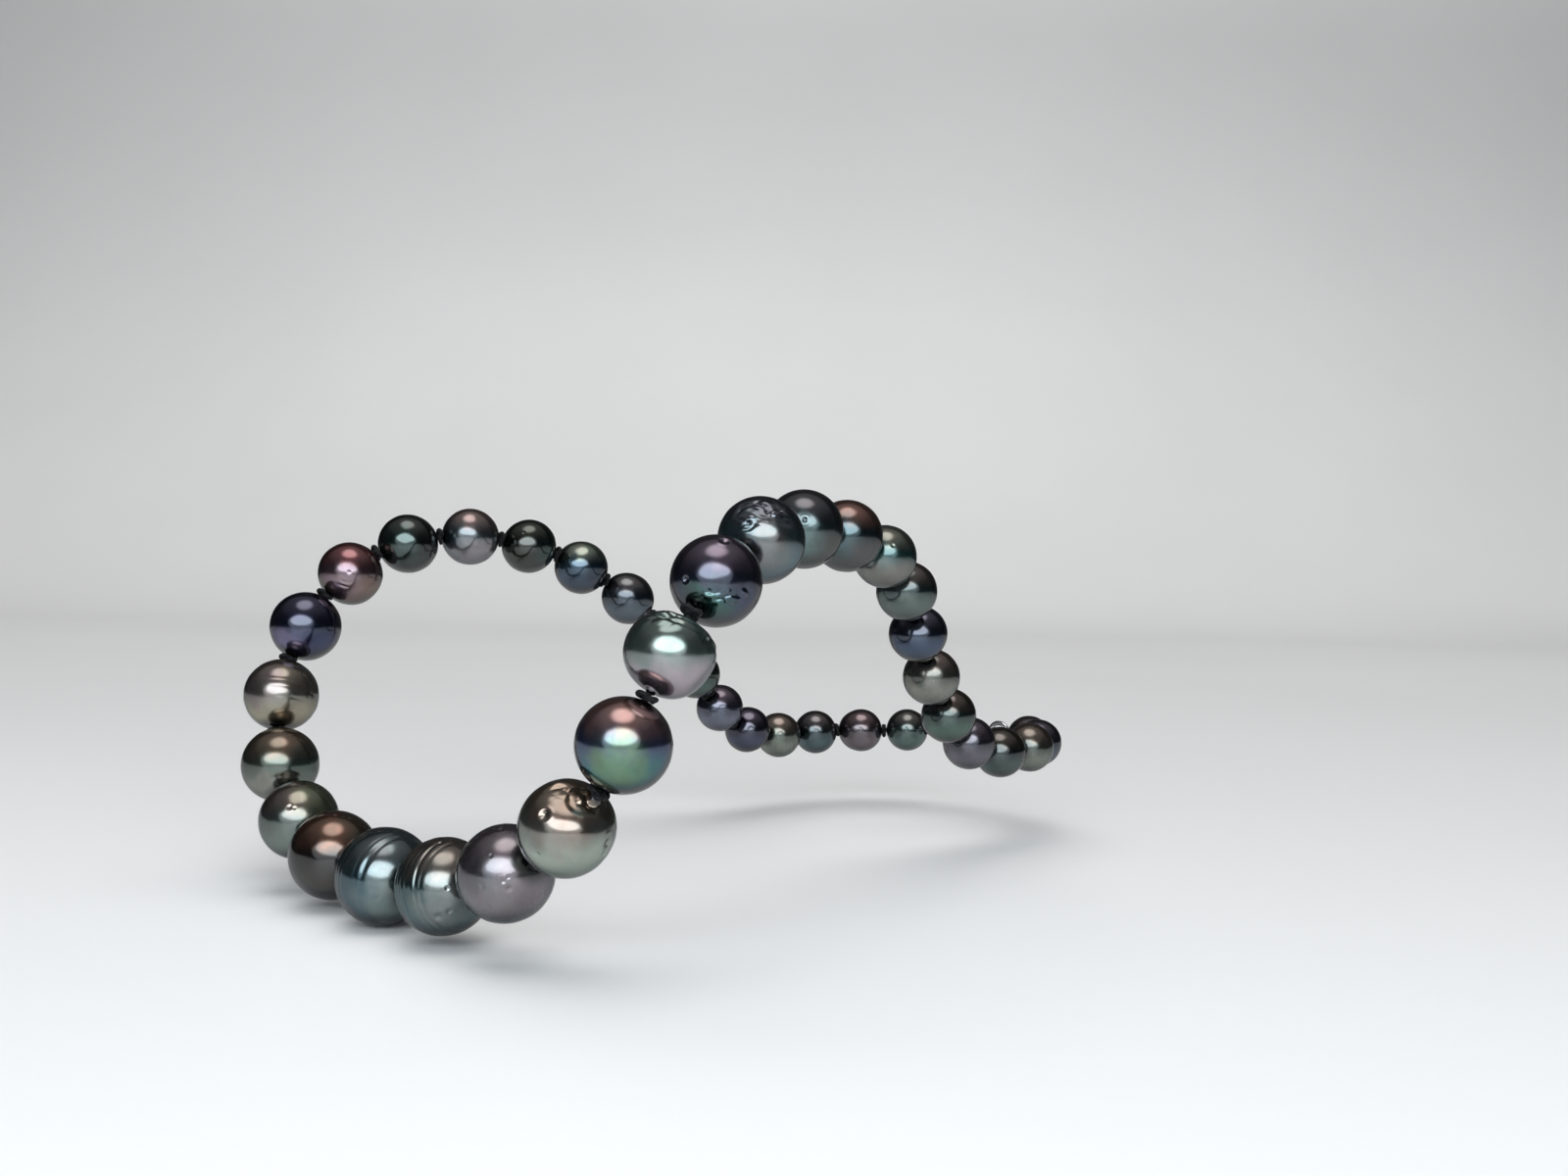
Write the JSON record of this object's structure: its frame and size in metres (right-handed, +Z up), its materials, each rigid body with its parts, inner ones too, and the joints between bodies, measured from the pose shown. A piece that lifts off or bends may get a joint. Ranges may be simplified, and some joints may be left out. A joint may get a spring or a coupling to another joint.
{
  "type": "pearl necklace",
  "caption": "Closed strand of graduated dark pearls, knotted on black silk, with a lobster clasp, draped over a plate's rim.",
  "frame": {"origin": "where the plate's rim carries the right-hand strand; the rim lies under the strand and is not part of the row", "axes": "+Z up, +X to the right and +Y from the hanging front of the loop towards the clasp in the plate's well"},
  "size_m": [0.1331, 0.1423, 0.0581],
  "materials": {
    "nacre_01": "gloss",
    "nacre_02": "gloss",
    "nacre_03": "gloss",
    "nacre_04": "gloss",
    "nacre_05": "gloss",
    "nacre_06": "gloss",
    "nacre_07": "gloss",
    "nacre_08": "gloss",
    "nacre_09": "gloss",
    "nacre_10": "gloss",
    "nacre_11": "gloss",
    "nacre_12": "gloss",
    "nacre_13": "gloss",
    "nacre_14": "gloss",
    "nacre_15": "gloss",
    "nacre_16": "gloss",
    "nacre_17": "gloss",
    "nacre_18": "gloss",
    "nacre_19": "gloss",
    "nacre_20": "gloss",
    "nacre_21": "gloss",
    "nacre_22": "gloss",
    "nacre_23": "gloss",
    "nacre_24": "gloss",
    "nacre_25": "gloss",
    "nacre_26": "gloss",
    "nacre_27": "gloss",
    "nacre_28": "gloss",
    "nacre_29": "gloss",
    "nacre_30": "gloss",
    "nacre_31": "gloss",
    "nacre_32": "gloss",
    "nacre_33": "gloss",
    "nacre_34": "gloss",
    "nacre_35": "gloss",
    "nacre_36": "gloss",
    "nacre_37": "gloss",
    "nacre_38": "gloss",
    "nacre_39": "gloss",
    "silk": "satin",
    "coil": "polished",
    "white_metal": "polished",
    "spring_steel": "satin"
  },
  "bodies": {
    "rim_strands": {"silk_rim_right": "silk", "silk_rim_left": "silk"},
    "front_drop": {"silk_front_right": "silk", "silk_front_left": "silk"},
    "front_bottom": {"silk_front_bottom": "silk"},
    "well_drop": {"silk_well_right": "silk", "silk_well_left": "silk"},
    "clasp_strand": {"silk_clasp_right": "silk", "silk_clasp_left": "silk", "silk_sheath_right": "coil", "silk_sheath_left": "coil"},
    "clasp": {"claw": "white_metal", "lever_pin": "white_metal", "lever_spring": "spring_steel"},
    "gate": {"claw_lever": "white_metal"},
    "ring_right": {"end_ring": "white_metal"},
    "ring_left": {"jump_ring": "white_metal"},
    "pearl_01": {"pearl_01": "nacre_01"},
    "pearl_02": {"pearl_02": "nacre_02"},
    "pearl_03": {"pearl_03": "nacre_03"},
    "pearl_04": {"pearl_04": "nacre_04"},
    "pearl_05": {"pearl_05": "nacre_05"},
    "pearl_06": {"pearl_06": "nacre_06"},
    "pearl_07": {"pearl_07": "nacre_07"},
    "pearl_08": {"pearl_08": "nacre_08"},
    "pearl_09": {"pearl_09": "nacre_09"},
    "pearl_10": {"pearl_10": "nacre_10"},
    "pearl_11": {"pearl_11": "nacre_11"},
    "pearl_12": {"pearl_12": "nacre_12"},
    "pearl_13": {"pearl_13": "nacre_13"},
    "pearl_14": {"pearl_14": "nacre_14"},
    "pearl_15": {"pearl_15": "nacre_15"},
    "pearl_16": {"pearl_16": "nacre_16"},
    "pearl_17": {"pearl_17": "nacre_17"},
    "pearl_18": {"pearl_18": "nacre_18"},
    "pearl_19": {"pearl_19": "nacre_19"},
    "pearl_20": {"pearl_20": "nacre_20"},
    "pearl_21": {"pearl_21": "nacre_21"},
    "pearl_22": {"pearl_22": "nacre_22"},
    "pearl_23": {"pearl_23": "nacre_23"},
    "pearl_24": {"pearl_24": "nacre_24"},
    "pearl_25": {"pearl_25": "nacre_25"},
    "pearl_26": {"pearl_26": "nacre_26"},
    "pearl_27": {"pearl_27": "nacre_27"},
    "pearl_28": {"pearl_28": "nacre_28"},
    "pearl_29": {"pearl_29": "nacre_29"},
    "pearl_30": {"pearl_30": "nacre_30"},
    "pearl_31": {"pearl_31": "nacre_31"},
    "pearl_32": {"pearl_32": "nacre_32"},
    "pearl_33": {"pearl_33": "nacre_33"},
    "pearl_34": {"pearl_34": "nacre_34"},
    "pearl_35": {"pearl_35": "nacre_35"},
    "pearl_36": {"pearl_36": "nacre_36"},
    "pearl_37": {"pearl_37": "nacre_37"},
    "pearl_38": {"pearl_38": "nacre_38"},
    "pearl_39": {"pearl_39": "nacre_39"}
  },
  "joints": [
    {"name": "front_swing", "type": "hinge", "parent": "rim_strands", "child": "front_drop", "pos_m": [-0.0055, -0.0085, -0.003], "axis": [-0.6949, 0.7191, -0.004], "range_deg": [0, 45], "deforming": ["silk_rim_right", "silk_rim_left"]},
    {"name": "bottom_swing", "type": "hinge", "parent": "front_drop", "child": "front_bottom", "pos_m": [-0.02303, -0.00697, -0.03203], "axis": [-0.7027, 0.7114, -0.0135], "range_deg": [0, 45], "deforming": ["silk_front_right", "silk_front_left"]},
    {"name": "well_swing", "type": "hinge", "parent": "rim_strands", "child": "well_drop", "pos_m": [-0.02641, 0.08105, -0.00056], "axis": [0.7295, -0.6827, 0.0416], "range_deg": [0, 50], "deforming": ["silk_rim_right", "silk_rim_left"]},
    {"name": "clasp_lift", "type": "hinge", "parent": "well_drop", "child": "clasp_strand", "pos_m": [0.00762, 0.11461, -0.03062], "axis": [0.7062, -0.7069, 0.04], "range_deg": [0, 30], "deforming": ["silk_well_right", "silk_well_left"]},
    {"name": "gate_open", "type": "hinge", "parent": "clasp", "child": "gate", "pos_m": [0.04246, 0.11306, -0.0296], "axis": [0.0278, -0.0287, -0.9992], "range_deg": [0, 25], "stiffness_Nm_per_rad": 0.004, "springref_deg": -17.19, "deforming": ["lever_spring"]},
    {"name": "clasp_roll", "type": "hinge", "parent": "clasp_strand", "child": "clasp", "pos_m": [0.05062, 0.10271, -0.02908], "axis": [-0.6954, 0.7175, -0.04], "range_deg": [-20, 20]},
    {"name": "ring_right_turn", "type": "hinge", "parent": "clasp_strand", "child": "ring_right", "pos_m": [0.04707, 0.10637, -0.02928], "axis": [-0.7181, -0.696, 0], "continuous": true},
    {"name": "ring_left_turn", "type": "hinge", "parent": "clasp_strand", "child": "ring_left", "pos_m": [0.03854, 0.11517, -0.02977], "axis": [-0.7181, -0.696, 0], "continuous": true},
    {"name": "pearl_01_turn", "type": "hinge", "parent": "clasp_strand", "child": "pearl_01", "pos_m": [0.05145, 0.09804, -0.02892], "axis": [0.1759, -0.9839, 0.033], "continuous": true},
    {"name": "pearl_02_turn", "type": "hinge", "parent": "clasp_strand", "child": "pearl_02", "pos_m": [0.05155, 0.08889, -0.02866], "axis": [-0.1621, -0.9865, 0.0236], "continuous": true},
    {"name": "pearl_03_turn", "type": "hinge", "parent": "clasp_strand", "child": "pearl_03", "pos_m": [0.0485, 0.08021, -0.0285], "axis": [-0.4833, -0.8754, 0.0114], "continuous": true},
    {"name": "pearl_04_turn", "type": "hinge", "parent": "well_drop", "child": "pearl_04", "pos_m": [0.04232, 0.07273, -0.02846], "axis": [-0.7615, -0.6482, -0.0029], "continuous": true},
    {"name": "pearl_05_turn", "type": "hinge", "parent": "well_drop", "child": "pearl_05", "pos_m": [0.03611, 0.06581, -0.02627], "axis": [-0.4841, -0.7474, 0.4551], "continuous": true},
    {"name": "pearl_06_turn", "type": "hinge", "parent": "well_drop", "child": "pearl_06", "pos_m": [0.03182, 0.05887, -0.02102], "axis": [-0.3958, -0.6767, 0.6208], "continuous": true},
    {"name": "pearl_07_turn", "type": "hinge", "parent": "well_drop", "child": "pearl_07", "pos_m": [0.02829, 0.05255, -0.01438], "axis": [-0.3216, -0.6088, 0.7252], "continuous": true},
    {"name": "pearl_08_turn", "type": "hinge", "parent": "well_drop", "child": "pearl_08", "pos_m": [0.02551, 0.04649, -0.00737], "axis": [-0.2512, -0.6427, 0.7238], "continuous": true},
    {"name": "pearl_09_turn", "type": "hinge", "parent": "well_drop", "child": "pearl_09", "pos_m": [0.02303, 0.03973, -0.00089], "axis": [-0.259, -0.746, 0.6135], "continuous": true},
    {"name": "pearl_10_turn", "type": "hinge", "parent": "rim_strands", "child": "pearl_10", "pos_m": [0.01922, 0.03204, 0.00406], "axis": [-0.4974, -0.7837, 0.372], "continuous": true},
    {"name": "pearl_11_turn", "type": "hinge", "parent": "rim_strands", "child": "pearl_11", "pos_m": [0.0135, 0.02375, 0.00671], "axis": [-0.5901, -0.7949, 0.1408], "continuous": true},
    {"name": "pearl_12_turn", "type": "hinge", "parent": "rim_strands", "child": "pearl_12", "pos_m": [0.00743, 0.01448, 0.00732], "axis": [-0.4999, -0.8657, -0.0258], "continuous": true},
    {"name": "pearl_13_turn", "type": "hinge", "parent": "rim_strands", "child": "pearl_13", "pos_m": [0.0021, 0.00463, 0.00564], "axis": [-0.4344, -0.8599, -0.268], "continuous": true},
    {"name": "pearl_14_turn", "type": "hinge", "parent": "rim_strands", "child": "pearl_14", "pos_m": [-0.00295, -0.0044, 0.00056], "axis": [-0.4258, -0.6838, -0.5925], "continuous": true},
    {"name": "pearl_15_turn", "type": "hinge", "parent": "front_drop", "child": "pearl_15", "pos_m": [-0.00775, -0.0105, -0.00775], "axis": [-0.4001, -0.3555, -0.8447], "continuous": true},
    {"name": "pearl_16_turn", "type": "hinge", "parent": "front_drop", "child": "pearl_16", "pos_m": [-0.01263, -0.01245, -0.01796], "axis": [-0.434, 0.009, -0.9009], "continuous": true},
    {"name": "pearl_17_turn", "type": "hinge", "parent": "front_drop", "child": "pearl_17", "pos_m": [-0.0193, -0.00957, -0.02789], "axis": [-0.6071, 0.4231, -0.6727], "continuous": true},
    {"name": "pearl_18_turn", "type": "hinge", "parent": "front_bottom", "child": "pearl_18", "pos_m": [-0.02736, -0.0029, -0.03455], "axis": [-0.6702, 0.631, -0.3908], "continuous": true},
    {"name": "pearl_19_turn", "type": "hinge", "parent": "front_bottom", "child": "pearl_19", "pos_m": [-0.03656, 0.00564, -0.03808], "axis": [-0.7293, 0.6673, -0.1512], "continuous": true},
    {"name": "pearl_20_turn", "type": "hinge", "parent": "front_bottom", "child": "pearl_20", "pos_m": [-0.04653, 0.01486, -0.03904], "axis": [-0.7305, 0.6829, 0.0072], "continuous": true},
    {"name": "pearl_21_turn", "type": "hinge", "parent": "front_bottom", "child": "pearl_21", "pos_m": [-0.05611, 0.02437, -0.03826], "axis": [-0.6821, 0.7227, 0.1115], "continuous": true},
    {"name": "pearl_22_turn", "type": "hinge", "parent": "front_bottom", "child": "pearl_22", "pos_m": [-0.0641, 0.03364, -0.0352], "axis": [-0.568, 0.7316, 0.3771], "continuous": true},
    {"name": "pearl_23_turn", "type": "hinge", "parent": "front_drop", "child": "pearl_23", "pos_m": [-0.06955, 0.04183, -0.02843], "axis": [-0.3205, 0.6041, 0.7296], "continuous": true},
    {"name": "pearl_24_turn", "type": "hinge", "parent": "front_drop", "child": "pearl_24", "pos_m": [-0.07173, 0.04831, -0.01862], "axis": [-0.0378, 0.4628, 0.8856], "continuous": true},
    {"name": "pearl_25_turn", "type": "hinge", "parent": "front_drop", "child": "pearl_25", "pos_m": [-0.06993, 0.05359, -0.00831], "axis": [0.3436, 0.421, 0.8395], "continuous": true},
    {"name": "pearl_26_turn", "type": "hinge", "parent": "rim_strands", "child": "pearl_26", "pos_m": [-0.06447, 0.05853, 0.00006], "axis": [0.6328, 0.4511, 0.6294], "continuous": true},
    {"name": "pearl_27_turn", "type": "hinge", "parent": "rim_strands", "child": "pearl_27", "pos_m": [-0.0566, 0.06358, 0.00502], "axis": [0.8263, 0.4851, 0.2861], "continuous": true},
    {"name": "pearl_28_turn", "type": "hinge", "parent": "rim_strands", "child": "pearl_28", "pos_m": [-0.04757, 0.06867, 0.00648], "axis": [0.8794, 0.476, -0.012], "continuous": true},
    {"name": "pearl_29_turn", "type": "hinge", "parent": "rim_strands", "child": "pearl_29", "pos_m": [-0.03862, 0.07365, 0.00516], "axis": [0.8417, 0.4818, -0.244], "continuous": true},
    {"name": "pearl_30_turn", "type": "hinge", "parent": "rim_strands", "child": "pearl_30", "pos_m": [-0.03035, 0.07859, 0.00167], "axis": [0.7641, 0.4773, -0.4339], "continuous": true},
    {"name": "pearl_31_turn", "type": "hinge", "parent": "well_drop", "child": "pearl_31", "pos_m": [-0.02264, 0.083, -0.0037], "axis": [0.7145, 0.3688, -0.5945], "continuous": true},
    {"name": "pearl_32_turn", "type": "hinge", "parent": "well_drop", "child": "pearl_32", "pos_m": [-0.01594, 0.0869, -0.01039], "axis": [0.5847, 0.3919, -0.7103], "continuous": true},
    {"name": "pearl_33_turn", "type": "hinge", "parent": "well_drop", "child": "pearl_33", "pos_m": [-0.01091, 0.09149, -0.01757], "axis": [0.426, 0.5307, -0.7327], "continuous": true},
    {"name": "pearl_34_turn", "type": "hinge", "parent": "well_drop", "child": "pearl_34", "pos_m": [-0.00657, 0.09736, -0.0242], "axis": [0.4512, 0.6546, -0.6066], "continuous": true},
    {"name": "pearl_35_turn", "type": "hinge", "parent": "well_drop", "child": "pearl_35", "pos_m": [-0.00153, 0.10394, -0.0289], "axis": [0.5983, 0.7146, -0.3625], "continuous": true},
    {"name": "pearl_36_turn", "type": "hinge", "parent": "well_drop", "child": "pearl_36", "pos_m": [0.00444, 0.11095, -0.03061], "axis": [0.6552, 0.7555, -0.0032], "continuous": true},
    {"name": "pearl_37_turn", "type": "hinge", "parent": "clasp_strand", "child": "pearl_37", "pos_m": [0.01182, 0.11693, -0.03057], "axis": [0.8759, 0.4823, 0.0108], "continuous": true},
    {"name": "pearl_38_turn", "type": "hinge", "parent": "clasp_strand", "child": "pearl_38", "pos_m": [0.02111, 0.11999, -0.0304], "axis": [0.989, 0.1462, 0.0236], "continuous": true},
    {"name": "pearl_39_turn", "type": "hinge", "parent": "clasp_strand", "child": "pearl_39", "pos_m": [0.03045, 0.11971, -0.03013], "axis": [0.9779, -0.2065, 0.0333], "continuous": true}
  ]
}
